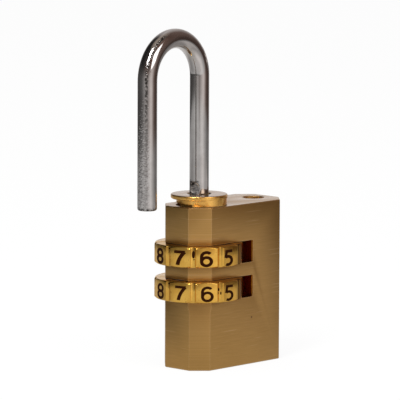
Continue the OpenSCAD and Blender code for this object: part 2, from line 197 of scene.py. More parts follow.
class DialFinish(bpy.types.PropertyGroup):
    """Turned number dials"""

    edge_break: FloatProperty(
        name="Edge break", description="Width of the rounding on the dials' edges",
        default=0.00005, min=0.0, max=0.0002, unit="LENGTH",
    )
    brass: FloatVectorProperty(
        name="Brass", description="Colour of the polished dials",
        default=(0.90, 0.54, 0.105), **COLOUR,
    )
    brass_dull: FloatVectorProperty(
        name="Dull brass", description="Colour of the dials where they have tarnished",
        default=(0.74, 0.40, 0.06), **COLOUR,
    )
    crown: FloatProperty(
        name="Crown", description="How round polishing has left the dials' faces, per metre",
        default=12.0, min=0.0, max=40.0,
    )
    ink: FloatVectorProperty(
        name="Ink", description="Colour of the paint in the numerals",
        default=(0.016, 0.0035, 0.0005), **COLOUR,
    )
    numeral_height: FloatProperty(
        name="Numeral height", description="Height of a numeral",
        default=0.0025, min=0.0015, max=0.0028, unit="LENGTH",
    )
    numeral_drop: FloatProperty(
        name="Numeral drop", description="How far the numerals stand below the dial's middle",
        default=0.0002, min=0.0, max=0.0005, unit="LENGTH",
    )
    numeral_stroke: FloatProperty(
        name="Numeral stroke", description="Width of a numeral's stroke",
        default=0.00045, min=0.0001, max=0.0006, unit="LENGTH",
    )
    numeral_stretch: FloatProperty(
        name="Numeral stretch", description="Width of a numeral against its drawn width",
        default=1.2, min=0.8, max=1.5,
    )
    ink_depth: FloatProperty(
        name="Ink depth", description="How deep the paint sits in the dial's face",
        default=0.00006, min=0.00002, max=0.0002, unit="LENGTH",
    )


class CollarFinish(bpy.types.PropertyGroup):
    """Polished change collar"""

    edge_break: FloatProperty(
        name="Edge break", description="Width of the rounding on the collar's edges",
        default=0.00004, min=0.0, max=0.0001, unit="LENGTH",
    )
    brass: FloatVectorProperty(
        name="Brass", description="Colour of the polished collar",
        default=(0.96, 0.56, 0.14), **COLOUR,
    )
    brass_dull: FloatVectorProperty(
        name="Dull brass", description="Colour of the collar where it has tarnished",
        default=(0.76, 0.40, 0.08), **COLOUR,
    )


class ShackleFinish(bpy.types.PropertyGroup):
    """Plated steel shackle"""

    edge_break: FloatProperty(
        name="Edge break", description="Width of the rounding on the scoop's and the lugs' edges",
        default=0.00004, min=0.0, max=0.0001, unit="LENGTH",
    )
    plate: FloatVectorProperty(
        name="Plating", description="Colour of the clean plating",
        default=(0.60, 0.58, 0.565), **COLOUR,
    )
    plate_dull: FloatVectorProperty(
        name="Dull plating", description="Colour of the stained plating",
        default=(0.20, 0.18, 0.165), **COLOUR,
    )
    # Also the colour of the painted shade in the scoop
    dirt: FloatVectorProperty(
        name="Dirt", description="Colour of the dirt in the rough places",
        default=(0.03, 0.027, 0.023), **COLOUR,
    )


class PadlockStage(bpy.types.PropertyGroup):
    """Camera, floor and light"""

    turn: FloatProperty(
        name="Turn", description="Bearing that the camera looks along, from +Y towards +X",
        default=math.radians(46.7), subtype="ANGLE",
    )
    tilt: FloatProperty(
        name="Tilt", description="How far the camera looks down",
        default=math.radians(7.337), subtype="ANGLE",
    )
    roll: FloatProperty(
        name="Roll", description="How far the camera leans",
        default=math.radians(0.234), subtype="ANGLE",
    )
    distance: FloatProperty(
        name="Distance", description="From the camera to the padlock",
        default=0.572055, unit="LENGTH",
    )
    lens: FloatProperty(name="Lens", description="Focal length in millimetres", default=332.1)
    aim: FloatVectorProperty(
        name="Aim", description="Point that the camera's framing is measured from",
        default=(0.003, 0.0, 0.025), subtype="TRANSLATION",
    )
    pan: FloatVectorProperty(
        name="Pan", description="Camera's offset to its right and upwards",
        default=(-0.001918, 0.000591), size=2,
    )
    floor_size: FloatProperty(
        name="Floor size", description="Width of the floor", default=6.0, unit="LENGTH",
    )
    sheet_reach: FloatProperty(
        name="Sheet reach", description="How far from the padlock the metal still shows the pale floor",
        default=0.245, unit="LENGTH",
    )
    floor_colour: FloatVectorProperty(
        name="Floor", description="Colour of the floor",
        default=(0.80, 0.80, 0.80), **COLOUR,
    )


def settings():
    return bpy.context.scene.padlock


def bearing_angle(bearing):
    """Angle round +Z, in radians, of a bearing in degrees to the right of the camera's side."""
    return math.radians(bearing - 90) - settings().stage.turn


def ahead_at(angle):
    """The flat direction at an angle from +X."""
    return Vector((math.cos(angle), math.sin(angle), 0))


def left_at(angle):
    """The flat direction to the left of the one at an angle."""
    return Vector((-math.sin(angle), math.cos(angle), 0))


# -------------------- shader helpers


class Wire:
    """The value that a node's output gives, so that a shader's formulas can be written as sums."""

    def __init__(self, socket):
        self.socket = socket
        self.tree = socket.id_data

    def __add__(self, other):
        return maths("ADD", self, other)

    def __sub__(self, other):
        return maths("SUBTRACT", self, other)

    def __rsub__(self, other):
        return maths("SUBTRACT", other, self)

    def __mul__(self, other):
        return maths("MULTIPLY", self, other)

    def __truediv__(self, other):
        return maths("DIVIDE", self, other)

    def __rtruediv__(self, other):
        return maths("DIVIDE", other, self)

    def __abs__(self):
        return maths("ABSOLUTE", self)


class Wires:
    """The outputs of a node as wires, by name or by number."""

    def __init__(self, outputs):
        self.outputs = outputs

    def __getitem__(self, key):
        return Wire(self.outputs[key])


def feed(sockets, values):
    """Gives input sockets their values, each a wire or a constant."""
    for key, value in values.items():
        if isinstance(value, Wire):
            value.tree.links.new(value.socket, sockets[key])
        else:
            sockets[key].default_value = value


def add(tree, kind, inputs=None, **options):
    """The outputs of a new node, with its options set and its inputs fed."""
    node = tree.nodes.new(kind)
    for name, value in options.items():
        setattr(node, name, value)
    feed(node.inputs, inputs or {})
    return Wires(node.outputs)


def tree_of(*values):
    return next(value.tree for value in values if isinstance(value, Wire))


def maths(operation, *values, clamp=False):
    inputs = dict(enumerate(values))
    return add(tree_of(*values), "ShaderNodeMath", inputs, operation=operation, use_clamp=clamp)[0]


def vector_maths(operation, *values):
    return add(tree_of(*values), "ShaderNodeVectorMath", dict(enumerate(values)), operation=operation)


def most(first, second):
    return maths("MAXIMUM", first, second)


def parts(vector):
    return add(vector.tree, "ShaderNodeSeparateXYZ", {0: vector})


def combine(x, y=0.0, z=0.0):
    return add(tree_of(x, y, z), "ShaderNodeCombineXYZ", {"X": x, "Y": y, "Z": z})[0]


def swap_axes(vector, order):
    """The vector with its parts in another order, such as "ZXY"."""
    place = parts(vector)
    return combine(*(place[axis] for axis in order))


def levelled(coords):
    """The place with its height taken out."""
    return vector_maths("MULTIPLY", coords, (1, 1, 0))[0]


def remap(value, low, high, to_low=0.0, to_high=1.0):
    inputs = {"Value": value, "From Min": low, "From Max": high, "To Min": to_low, "To Max": to_high}
    return add(value.tree, "ShaderNodeMapRange", inputs)[0]


def band(value, middle, half, softness):
    """White where a value lies within half of the middle."""
    return maths("ADD", (half - abs(value - middle)) / softness, 0.5, clamp=True)


def noise(vector, scale, detail=2.0, roughness=0.5):
    inputs = {"Vector": vector, "Scale": scale, "Detail": detail, "Roughness": roughness}
    return add(vector.tree, "ShaderNodeTexNoise", inputs)["Fac"]


def blend(factor, first, second):
    """From the first colour to the second, each a wire or its red, green and blue."""
    first, second = (
        colour if isinstance(colour, Wire) else (*colour[:3], 1.0) for colour in (first, second)
    )
    return add(factor.tree, "ShaderNodeMix", {0: factor, 6: first, 7: second}, data_type="RGBA")[2]


def layered(colour, *layers):
    """A colour with others laid over it, each given with its mask."""
    for mask, over in layers:
        colour = blend(mask, colour, over)
    return colour


def new_group(name, inputs, outputs):
    """Ends of an empty node group; an input comes with its default, or None where it is a vector."""
    group = bpy.data.node_groups.new(name, "ShaderNodeTree")
    for label, default in inputs.items():
        kind = "NodeSocketVector" if default is None else "NodeSocketFloat"
        socket = group.interface.new_socket(name=label, in_out="INPUT", socket_type=kind)
        if default is not None:
            socket.default_value = default
    for label in outputs:
        group.interface.new_socket(name=label, in_out="OUTPUT", socket_type="NodeSocketFloat")
    return Wires(group.nodes.new("NodeGroupInput").outputs), group.nodes.new("NodeGroupOutput").inputs


def use_group(tree, name, inputs):
    return add(tree, "ShaderNodeGroup", inputs, node_tree=bpy.data.node_groups[name])


def brushing(coords, length, width):
    return use_group(coords.tree, "Brushing", {"Vector": coords, "Length": length, "Width": width})


def tarnish(coords, blotch_size, speck_size):
    inputs = {"Vector": coords, "Blotch Size": blotch_size, "Speck Size": speck_size}
    return use_group(coords.tree, "Tarnish", inputs)


def spot(coords, centre, radius, softness):
    inputs = {"Vector": coords, "Centre": centre, "Radius": radius, "Softness": softness}
    return use_group(coords.tree, "Spot", inputs)["Mask"]


def edge_line(coords, reach):
    return use_group(coords.tree, "Edge Line", {"Reach": reach})["Edge"]


# -------------------- shared effects


def make_brushing():
    """Fine lines along the first axis of the vector it is given, with a few long bright scratches."""
    given, gives = new_group(
        "Brushing", {"Vector": None, "Length": 0.005, "Width": 0.0001}, ("Lines", "Scratches"),
    )
    across = 1 / given["Width"]
    scale = combine(1 / given["Length"], across, across)
    lay = vector_maths("MULTIPLY", given["Vector"], scale)[0]
    lines = noise(lay, 1.0, 3.0, 0.6) * 0.65 + noise(lay, 0.4, 2.0, 0.5) * 0.35
    scratches = remap(noise(lay, 0.6, 0.0, 0.5), 0.74, 0.82)
    feed(gives, {"Lines": remap(lines, 0.3, 0.7), "Scratches": scratches})


def make_tarnish():
    """Soft blotches and sparse small specks, as on handled brass."""
    given, gives = new_group(
        "Tarnish", {"Vector": None, "Blotch Size": 0.004, "Speck Size": 0.0006}, ("Blotches", "Specks"),
    )
    blotches = noise(given["Vector"], 1 / given["Blotch Size"], 4.0, 0.6)
    specks = noise(given["Vector"], 1 / given["Speck Size"], 1.0, 0.5)
    feed(gives, {"Blotches": remap(blotches, 0.35, 0.7), "Specks": remap(specks, 0.72, 0.78)})


def make_edge_line():
    """White along outside and inside edges, from the difference a rounding would make there."""
    given, gives = new_group("Edge Line", {"Reach": 0.0001}, ("Edge",))
    reach = given["Reach"]
    rounded = add(reach.tree, "ShaderNodeBevel", {"Radius": reach}, samples=6)[0]
    flat = add(reach.tree, "ShaderNodeNewGeometry")["Normal"]
    likeness = vector_maths("DOT_PRODUCT", rounded, flat)["Value"]
    feed(gives, {"Edge": remap(likeness, 0.995, 0.93)})


def make_pits():
    """Small round pits of uneven size, as in worn plating."""
    given, gives = new_group("Pits", {"Vector": None, "Pit Size": 0.0004}, ("Pits",))
    scale = 1 / given["Pit Size"]
    warp = noise(given["Vector"], scale * 0.6, 2.0, 0.6)
    inputs = {"Vector": given["Vector"], "Scale": scale, "Randomness": 1.0}
    cells = add(scale.tree, "ShaderNodeTexVoronoi", inputs, feature="F1")["Distance"]
    feed(gives, {"Pits": remap(warp * 0.9 - cells, 0.0, 0.25)})


def make_spot():
    """White inside a ball with a soft edge."""
    inputs = {"Vector": None, "Centre": None, "Radius": 0.001, "Softness": 0.0003}
    given, gives = new_group("Spot", inputs, ("Mask",))
    away = vector_maths("DISTANCE", given["Vector"], given["Centre"])["Value"]
    into = (given["Radius"] - away) / given["Softness"]
    feed(gives, {"Mask": maths("ADD", into, 0.5, clamp=True)})


def make_recess_shade_and_dirt():
    """White deep in slots, grooves and mouths, found by ambient occlusion: it marks dirt and paints the shade that
    falls there.
    """
    inputs = {"Reach": 0.001, "Start": 0.4, "Full": 0.9}
    given, gives = new_group("Recess Shade And Dirt", inputs, ("Shade And Dirt",))
    reach = given["Reach"]
    open_share = add(reach.tree, "ShaderNodeAmbientOcclusion", {"Distance": reach}, samples=12)["AO"]
    feed(gives, {"Shade And Dirt": remap(1 - open_share, given["Start"], given["Full"])})


def make_shared_effects():
    make_brushing()
    make_tarnish()
    make_edge_line()
    make_pits()
    make_spot()
    make_recess_shade_and_dirt()


# -------------------- materials


# Colours of the marks on the metals, of the painted shade and highlights on them, and of what they mirror, as red,
# green and blue
SLOT_DEEP_SHADE = (0.07, 0.010, 0.001)
SLOT_MOUTH_SHADE = (0.42, 0.07, 0.006)
BRASS_SCRATCH = (0.74, 0.49, 0.22)
BRASS_RUBBED_HIGHLIGHT = (0.84, 0.60, 0.32)
BRASS_PIT = (0.10, 0.05, 0.02)
DIAL_EDGE = (0.22, 0.10, 0.02)
DIAL_GROOVE_SHADE_AND_DIRT = (0.26, 0.12, 0.02)
DIAL_SLOT_SHADE = (0.09, 0.03, 0.004)
DIAL_SPECK = (0.12, 0.06, 0.02)
COLLAR_TOP_SHADED = (0.52, 0.355, 0.215)
COLLAR_DIRT_AND_SHADE = (0.05, 0.026, 0.010)
MILLED_STEEL_HIGHLIGHT = (0.92, 0.88, 0.83)
INNER_DULL = (0.50, 0.33, 0.13)
INNER_BRIGHT = (0.66, 0.47, 0.21)
SPRING_GREY = (0.55, 0.54, 0.53)
SPRING_STAIN = (0.33, 0.31, 0.29)
INK_GRAIN = (0.026, 0.006, 0.001)
NEAR_SHEET = (0.56, 0.53, 0.49)
CEILING = (0.42, 0.355, 0.30)


def new_material(name, **shader):
    """A material with its Principled shader's constants set, the shader's inputs and coordinates."""
    material = bpy.data.materials.new(name)
    material.use_nodes = True
    tree = material.node_tree
    sockets = tree.nodes["Principled BSDF"].inputs
    feed(sockets, {key.replace("_", " "): value for key, value in shader.items()})
    return material, sockets, add(tree, "ShaderNodeTexCoord")["Object"]


def set_bump(sockets, height, distance, strength=1.0):
    inputs = {"Height": height, "Distance": distance, "Strength": strength}
    feed(sockets, {"Normal": add(height.tree, "ShaderNodeBump", inputs)[0]})


def facing_up(coords):
    """How far a face looks up, from -1 for down to 1."""
    return parts(add(coords.tree, "ShaderNodeNewGeometry")["Normal"])["Z"]


def under_outline(coords):
    """Mask of the walls inside the dial slots, and how far they lie under the block's outline."""
    place = parts(coords)
    middle = (BLOCK_LOW + BLOCK_HIGH) / 2
    under_end = BLOCK_HIGH.x - middle.x - abs(place["X"] - middle.x)
    under_side = BLOCK_HIGH.y - middle.y - abs(place["Y"] - middle.y)
    under_corner = (under_end + under_side - CORNER_CUT) * math.sqrt(0.5)
    depth = maths("MINIMUM", maths("MINIMUM", under_end, under_side), under_corner)
    low, high = SLOT_ZONE
    zone = band(place["Z"], (low + high) / 2, (high - low) / 2, 0.0001)
    return remap(depth, 0.00025, 0.0004) * zone, depth


def block_brass():
    """Lacquered brass brushed level round the sides and lengthwise on top, with red-brown tarnish and painted
    shade in its slots, darker the deeper in, and a painted highlight along its edges.
    """
    finish = settings().block
    material, sockets, coords = new_material("Block Brass", Metallic=1.0, Coat_Roughness=0.15)
    place = parts(coords)
    side_lay = combine(place["X"] + place["Y"], place["Z"])
    is_top = maths("GREATER_THAN", abs(facing_up(coords)), TOP_FACING)
    lay = add(coords.tree, "ShaderNodeMix", {0: is_top, 4: side_lay, 5: coords}, data_type="VECTOR")[1]
    brushed = brushing(lay, finish.grain_length, finish.grain_width)
    edge = edge_line(coords, 0.00016)
    slots, depth = under_outline(coords)
    # Painted shade in the dial slots: red-brown near the mouth, near black deep under the outline
    slot_shade = blend(remap(depth, 0.0004, 0.0018), SLOT_DEEP_SHADE, SLOT_MOUTH_SHADE)
    colour = layered(
        blend(brushed["Lines"], finish.brass_dull, finish.brass),
        (tarnish(coords, 0.005, 0.0005)["Blotches"] * 0.2, finish.brass_dull),
        (brushed["Scratches"] * 0.6, BRASS_SCRATCH),
        # Lighter brass along the edges: wear, and a painted highlight like the one rounded edges catch
        (edge * 0.7, BRASS_RUBBED_HIGHLIGHT),
        (slots, slot_shade),
        (spot(coords, finish.pit, 0.00016, 0.00012) * 0.7, BRASS_PIT),
    )
    rough = most(remap(brushed["Lines"], 0.0, 1.0, 0.40, 0.30), edge * 0.60)
    coat = (1 - slots) * remap(is_top, 0, 1, 0.3, 0.8)
    feed(sockets, {"Base Color": colour, "Roughness": rough, "Coat Weight": coat})
    set_bump(sockets, brushed["Lines"], 0.00001, 0.4)
    return material


def dial_brass():
    """Polished golden brass, turned round the spindle, with dirt and painted shade along its grooves and a painted
    shadow in one groove by the slot's edge.
    """
    finish = settings().dials
    material, sockets, coords = new_material(
        "Dial Brass", Metallic=1.0, Coat_Weight=0.15, Coat_Roughness=0.1,
    )
    lines = brushing(swap_axes(coords, "ZXY"), 0.0016, 0.00025)["Lines"]
    handled = tarnish(coords, 0.002, 0.0004)
    edge = edge_line(coords, 0.00009)
    recess = {"Reach": 0.0006, "Start": 0.2, "Full": 0.9}
    grooves = use_group(coords.tree, "Recess Shade And Dirt", recess)["Shade And Dirt"]
    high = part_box("dial_upper")[1]
    place = parts(coords)
    share = maths("FRACT", maths("ARCTAN2", place["Y"], place["X"]) / FACE_ANGLE)
    across = (share - 0.5) * (high.y * FACE_ANGLE)
    crown = across * across * -finish.crown
    slot_shaded_groove = ahead_at(math.radians(SLOT_SHADED_GROOVE)) * high.x
    colour = layered(
        blend(handled["Blotches"], finish.brass, finish.brass_dull),
        (edge * 0.10, DIAL_EDGE),
        # Painted shade and dirt in the grooves, from ambient occlusion
        (grooves, DIAL_GROOVE_SHADE_AND_DIRT),
        # Painted shadow in the groove that lies by the slot's edge as the dials stand
        (spot(levelled(coords), slot_shaded_groove, 0.00055, 0.0005) * 0.9, DIAL_SLOT_SHADE),
        (handled["Specks"] * 0.5, DIAL_SPECK),
    )
    rough = most(remap(lines, 0.0, 1.0, 0.22, 0.12), edge * 0.16)
    feed(sockets, {"Base Color": colour, "Roughness": rough})
    set_bump(sockets, lines * 0.000002 + crown, 1.0)
    return material


def collar_brass():
    """Polished orange-gold brass with turning marks round its rim, crumbly dirt round its mouth, a painted shadow
    round the neck's foot and painted shade on its top faces.
    """
    finish = settings().collar
    material, sockets, coords = new_material("Collar Brass", Coat_Roughness=0.05)
    turning = brushing(swap_axes(coords, "XZY"), 0.004, 0.00012)["Lines"]
    mouth = spot(coords, (0, 0, COLLAR_TOP), LEG_RADIUS + 0.00045, 0.0003)
    crumbs = remap(noise(coords, 1800.0, 3.0, 0.6), 0.35, 0.6)
    # Painted shadow in a band round the neck's foot, where it meets the block
    foot = band(parts(coords)["Z"], BLOCK_HIGH.z, 0.00016, 0.00012)
    # Dirt round the mouth together with the painted shadow at the foot
    dirt_and_shade = most(mouth * crumbs, foot * 0.8)
    is_top = maths("GREATER_THAN", facing_up(coords), TOP_FACING)
    colour = layered(
        blend(tarnish(coords, 0.0012, 0.0003)["Blotches"], finish.brass, finish.brass_dull),
        # Painted shading: the top faces get a duller, greyer brass for how the light falls on them
        (is_top, COLLAR_TOP_SHADED),
        (dirt_and_shade, COLLAR_DIRT_AND_SHADE),
    )
    feed(sockets, {
        "Base Color": colour,
        "Metallic": 1 - dirt_and_shade,
        "Coat Weight": remap(is_top, 0.0, 1.0, 0.30, 0.60),
        "Roughness": most(remap(turning, 0.0, 1.0, 0.34, 0.22), dirt_and_shade * 0.5),
    })
    set_bump(sockets, turning, 0.000003, 0.5)
    return material


def round_the_bar(coords):
    """Bearing round the bar on its free leg's side, carried along the bar as it bends."""
    normal = add(coords.tree, "ShaderNodeTexCoord")["Normal"]
    place = parts(vector_maths("SUBTRACT", coords, ARCH_CENTRE)[0])
    outwards = vector_maths("NORMALIZE", combine(place["X"], 0.0, most(place["Z"], 0.0)))[0]
    out = vector_maths("DOT_PRODUCT", normal, outwards)["Value"]
    return bearing_place(combine(out * -1, parts(normal)["Y"]))


def worn_column(coords):
    """Mask of the worn column up the free leg and into its bend, its middle, and how high it is."""
    around = round_the_bar(coords)
    place = parts(coords)
    risen = remap(place["Z"], *WORN_RISE)
    edges = (*WORN_EDGE, WORN_MIDDLE, WORN_RIGHT)
    foot_edge, high_edge, middle, right_edge = (0.5 + edge / 360 for edge in edges)
    left = remap(around - remap(risen, 0.0, 1.0, foot_edge, high_edge), -0.02, 0.03)
    right = remap(around, right_edge + 0.03, right_edge - 0.02)
    free_part = remap(place["X"], FREE_LEG[0] * 0.68, FREE_LEG[0] * 0.78)
    return left * right * free_part, band(around, middle, 0.026, 0.02) * free_part, risen


def on_long_leg(bearing, height):
    """The place on the long leg's surface at a bearing from the camera's side."""
    return ahead_at(bearing_angle(bearing)) * LEG_RADIUS + Vector((0, 0, height))


def shackle_dirt_and_shade(coords):
    """White at the rough places: dirt and painted shade in the scoop, the free leg's tip, the die mark and the
    seam.
    """
    place = parts(coords)
    crumbs = noise(coords, 3500.0, 3.0, 0.7)
    # Dark patches in the scoop: dirt, and painted shade in its hollow
    scoop_dirt_and_shade = 0.0
    for bearing, height, radius, strength in SCOOP_DIRT_AND_SHADE:
        scoop_patch = spot(coords, on_long_leg(bearing, COLLAR_TOP + height), radius, radius / 2)
        scoop_dirt_and_shade = most(scoop_dirt_and_shade, scoop_patch * strength)
    scoop_dirt_and_shade = scoop_dirt_and_shade * remap(crumbs, 0.38, 0.52)
    tip = band(place["Z"], TIP_HEIGHT, 0.00042, 0.0003) * maths("LESS_THAN", place["X"], FREE_LEG[0] / 2)
    at_tip = tip * remap(crumbs, 0.42, 0.55)
    die = spot(coords, on_long_leg(DIE_MARK_BEARING, DIE_MARK_HEIGHT), 0.0010, 0.0008)
    die_line = die * band(place["Z"], DIE_MARK_HEIGHT, 0.00012, 0.0001)
    seam = spot(levelled(coords), on_long_leg(SEAM_BEARING, 0), 0.00006, 0.00005)
    return most(most(scoop_dirt_and_shade, at_tip), most(die_line * 0.7, seam * 0.5))


def milled_scoop(coords):
    """White on the scoop's own surface, inside the long leg's round above the collar."""
    radius = vector_maths("LENGTH", levelled(coords))["Value"]
    inside = remap(radius, LEG_RADIUS - 0.00001, LEG_RADIUS - 0.00003)
    return inside * maths("GREATER_THAN", parts(coords)["Z"], COLLAR_TOP)


def pocks(coords, low_down, middle, risen):
    """Dark pocks: fine ones low down in the worn column, and larger ones up its middle."""
    fine = remap(noise(coords, 4200.0, 2.0, 0.6), 0.54, 0.60)
    large = remap(noise(coords, 2600.0, 3.0, 0.7), 0.46, 0.51)
    growing = remap(risen, 0.0, 1.0, 0.25, 1.0) * middle
    return most(fine * low_down * 0.30, large * growing)


def shackle_plating():
    """Bright plating, pitted on the free leg's outer side, with dirt in its rough places, painted shade in the
    scoop and a painted highlight on its milled streaks.
    """
    finish = settings().shackle
    material, sockets, coords = new_material("Shackle Plating", Metallic=1.0)
    drawn = brushing(swap_axes(coords, "ZXY"), 0.006, 0.00022)["Lines"]
    column, middle, risen = worn_column(coords)
    low_down = column * remap(risen, 0.0, 1.0, 1.0, 0.1)
    pits = use_group(coords.tree, "Pits", {"Vector": coords, "Pit Size": 0.00036})["Pits"]
    pitted = pits * low_down
    # Dirt on the shackle, with the scoop's painted shade
    dirt = most(shackle_dirt_and_shade(coords), pocks(coords, low_down, middle, risen))
    scoop = milled_scoop(coords)
    streaks = remap(noise(coords, 1500.0, 3.0, 0.7), 0.42, 0.58)
    colour = layered(
        blend(tarnish(coords, 0.002, 0.0003)["Blotches"] * 0.25, finish.plate, finish.plate_dull),
        (pitted * 0.08, finish.plate_dull),
        # Milled streaks in near-white, brighter than bare steel: a painted highlight on the milled metal
        (scoop * streaks, MILLED_STEEL_HIGHLIGHT),
        (dirt, finish.dirt),
    )
    milled = scoop * remap(streaks, 0.0, 1.0, 0.42, 0.74)
    rough = most(remap(drawn, 0.0, 1.0, 0.13, 0.07), milled)
    rough = most(most(rough, pitted * 0.24), dirt * 0.45)
    feed(sockets, {"Base Color": colour, "Roughness": rough})
    set_bump(sockets, drawn * 0.12 - (pitted * 0.8 + dirt * 0.3), 0.000024, 0.8)
    return material


def inner_brass():
    """Plain machined brass inside the block."""
    material, sockets, coords = new_material("Inner Brass", Metallic=1.0)
    turning = brushing(coords, 0.002, 0.0001)["Lines"]
    colour = blend(turning, INNER_DULL, INNER_BRIGHT)
    feed(sockets, {"Base Color": colour, "Roughness": remap(turning, 0.0, 1.0, 0.4, 0.25)})
    set_bump(sockets, turning, 0.000005, 0.5)
    return material


def spring_steel():
    """Grey steel of the springs, washers, clip and pin."""
    material, sockets, coords = new_material("Spring Steel", Metallic=1.0)
    blotches = tarnish(coords, 0.001, 0.0003)["Blotches"]
    colour = blend(blotches, SPRING_GREY, SPRING_STAIN)
    feed(sockets, {"Base Color": colour, "Roughness": remap(blotches, 0.0, 1.0, 0.25, 0.45)})
    set_bump(sockets, blotches, 0.000004, 0.4)
    return material


def numeral_ink():
    """Black paint with a dull skin."""
    material, sockets, coords = new_material("Numeral Ink", Metallic=0.0, Specular_IOR_Level=0.02)
    grain = noise(coords, 6000.0, 3.0, 0.6)
    colour = blend(remap(grain, 0.3, 0.8), settings().dials.ink, INK_GRAIN)
    feed(sockets, {"Base Color": colour, "Roughness": remap(grain, 0.3, 0.7, 0.45, 0.7)})
    set_bump(sockets, grain, 0.00001, 0.5)
    return material


def mix_shaders(factor, first, second):
    return add(factor.tree, "ShaderNodeMixShader", {0: factor, 1: first, 2: second})[0]


def paper_white():
    """Pale floor: white to the camera apart from the padlock's soft shadow; to reflections a glowing sheet,
    brighter and darker by bearing, that paints what the metal mirrors.
    """
    stage = settings().stage
    material = bpy.data.materials.new("Paper White")
    material.use_nodes = True
    tree = material.node_tree
    tree.nodes.remove(tree.nodes["Principled BSDF"])
    coords = add(tree, "ShaderNodeTexCoord")["Object"]
    tone = blend(noise(coords, 900.0, 3.0, 0.6), stage.floor_colour, (0.84, 0.84, 0.84))
    paper = add(tree, "ShaderNodeBsdfDiffuse", {"Color": tone})[0]
    white = add(tree, "ShaderNodeEmission", {"Color": (1, 1, 1, 1), "Strength": 1.0})[0]
    path = add(tree, "ShaderNodeLightPath")
    shown = mix_shaders(path["Is Camera Ray"] * 0.9, paper, white)
    reach = vector_maths("LENGTH", coords)["Value"]
    # Glow that only reflections see, brighter and darker by bearing: painted reflections for the metal
    place = bearing_place(coords)
    sheet = blend(remap(reach, *FAR_START), glow_ramp(place, FLOOR_GLOW), glow_ramp(place, FAR_GLOW))
    glow = blend(remap(reach, 0.012, 0.045), NEAR_SHEET, sheet)
    pale = add(tree, "ShaderNodeEmission", {"Color": glow, "Strength": 1.0})[0]
    clear = add(tree, "ShaderNodeBsdfTransparent")[0]
    beyond = remap(reach, stage.sheet_reach * 0.95, stage.sheet_reach * 1.14)
    mirrored = most(path["Is Glossy Ray"], path["Is Transmission Ray"])
    final = mix_shaders(mirrored, shown, mix_shaders(beyond, pale, clear))
    feed(tree.nodes["Material Output"].inputs, {"Surface": final})
    return material


# -------------------- modelling helpers


def put_in_scene(name, data):
    holder = bpy.data.objects.new(name, data)
    bpy.context.scene.collection.objects.link(holder)
    return holder


def keep_piece(name, mesh, material, body, replaces=()):
    """Puts a finished mesh in the scene as a piece that rides on a CAD body."""
    mesh.materials.clear()
    mesh.materials.append(material)
    piece = put_in_scene(name, mesh)
    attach(piece, body)
    if replaces:
        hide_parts(*replaces)
    return piece


def is_crease(edge, angle):
    return len(edge.link_faces) == 2 and edge.calc_face_angle(0.0) > angle


def broken_edges(node, width, crease=28, segments=3):
    """The CAD node's mesh again, merged, with its edges sharper than the crease in degrees rounded."""
    bm = bmesh.new()
    bm.from_mesh(frame["nodes"][node].data)
    bmesh.ops.remove_doubles(bm, verts=bm.verts, dist=SAME_PLACE)
    bmesh.ops.dissolve_limit(
        bm, angle_limit=FLAT_ENOUGH, verts=bm.verts, edges=bm.edges, delimit={"NORMAL"},
    )
    creases = [edge for edge in bm.edges if is_crease(edge, math.radians(crease))]
    bmesh.ops.bevel(
        bm, geom=creases, offset=width, offset_type="OFFSET", segments=segments, profile=0.5,
        affect="EDGES", clamp_overlap=True, material=-1,
    )
    smooth(bm)
    return written_out(bm, node + "_finished")


def smooth(bm):
    """Shades the bmesh smooth, except across its creases."""
    for face in bm.faces:
        face.smooth = True
    for edge in bm.edges:
        edge.smooth = not is_crease(edge, SHADING_CREASE)


def written_out(bm, name):
    """A new mesh with what the bmesh holds."""
    mesh = bpy.data.meshes.new(name)
    bm.to_mesh(mesh)
    bm.free()
    return mesh


def of_kind(items, kind):
    return [item for item in items if isinstance(item, kind)]


def pen_stroke(bm, start, level, heading, moves, width):
    """One stroke of a flat pen at a level: straight moves are extruded and bends are spun."""
    angle = math.radians(heading)
    place = Vector((*start, level))
    side = left_at(angle)
    ends = [bm.verts.new(place + side * width / 2), bm.verts.new(place - side * width / 2)]
    nib = bm.edges.new(ends)
    for length, bend in moves:
        if bend == 0:
            grown = bmesh.ops.extrude_edge_only(bm, edges=[nib])["geom"]
            ahead = ahead_at(angle) * length
            bmesh.ops.translate(bm, verts=of_kind(grown, bmesh.types.BMVert), vec=ahead)
            nib = of_kind(grown, bmesh.types.BMEdge)[0]
            place = place + ahead
        else:
            turn = math.radians(bend)
            centre = place + left_at(angle) * length / turn
            spun = bmesh.ops.spin(
                bm, geom=[*nib.verts, nib], cent=centre, axis=(0, 0, 1), angle=turn,
                steps=max(2, round(abs(bend) / BEND_STEP)), use_duplicate=False,
            )["geom_last"]
            nib = of_kind(spun, bmesh.types.BMEdge)[0]
            place = centre + Matrix.Rotation(turn, 3, "Z") @ (place - centre)
            angle += turn


def numeral_faces(bm, digit, finish, pen):
    """One numeral, flat and centred, with its strokes made wider or narrower by the pen."""
    size = finish.numeral_height - finish.numeral_stroke
    stroke = finish.numeral_stroke * pen / size
    drawn = bmesh.new()
    for index, (start, heading, moves) in enumerate(NUMERALS[digit]):
        pen_stroke(drawn, start, index * STROKE_STEP, heading, moves, stroke)
    bmesh.ops.translate(drawn, verts=drawn.verts, vec=(0, -0.5, 0))
    if digit == 9:
        bmesh.ops.rotate(drawn, verts=drawn.verts, matrix=Matrix.Rotation(math.pi, 3, "Z"))
    stretch = finish.numeral_stretch * WIDER.get(digit, 1)
    bmesh.ops.scale(drawn, verts=drawn.verts, vec=(size * stretch, size, 1))
    bmesh.ops.recalc_face_normals(drawn, faces=drawn.faces)
    for face in drawn.faces:
        if face.normal.z < 0:
            face.normal_flip()
    mesh = written_out(drawn, "numeral")
    before = set(bm.verts)
    bm.from_mesh(mesh)
    bpy.data.meshes.remove(mesh)
    return [vert for vert in bm.verts if vert not in before]


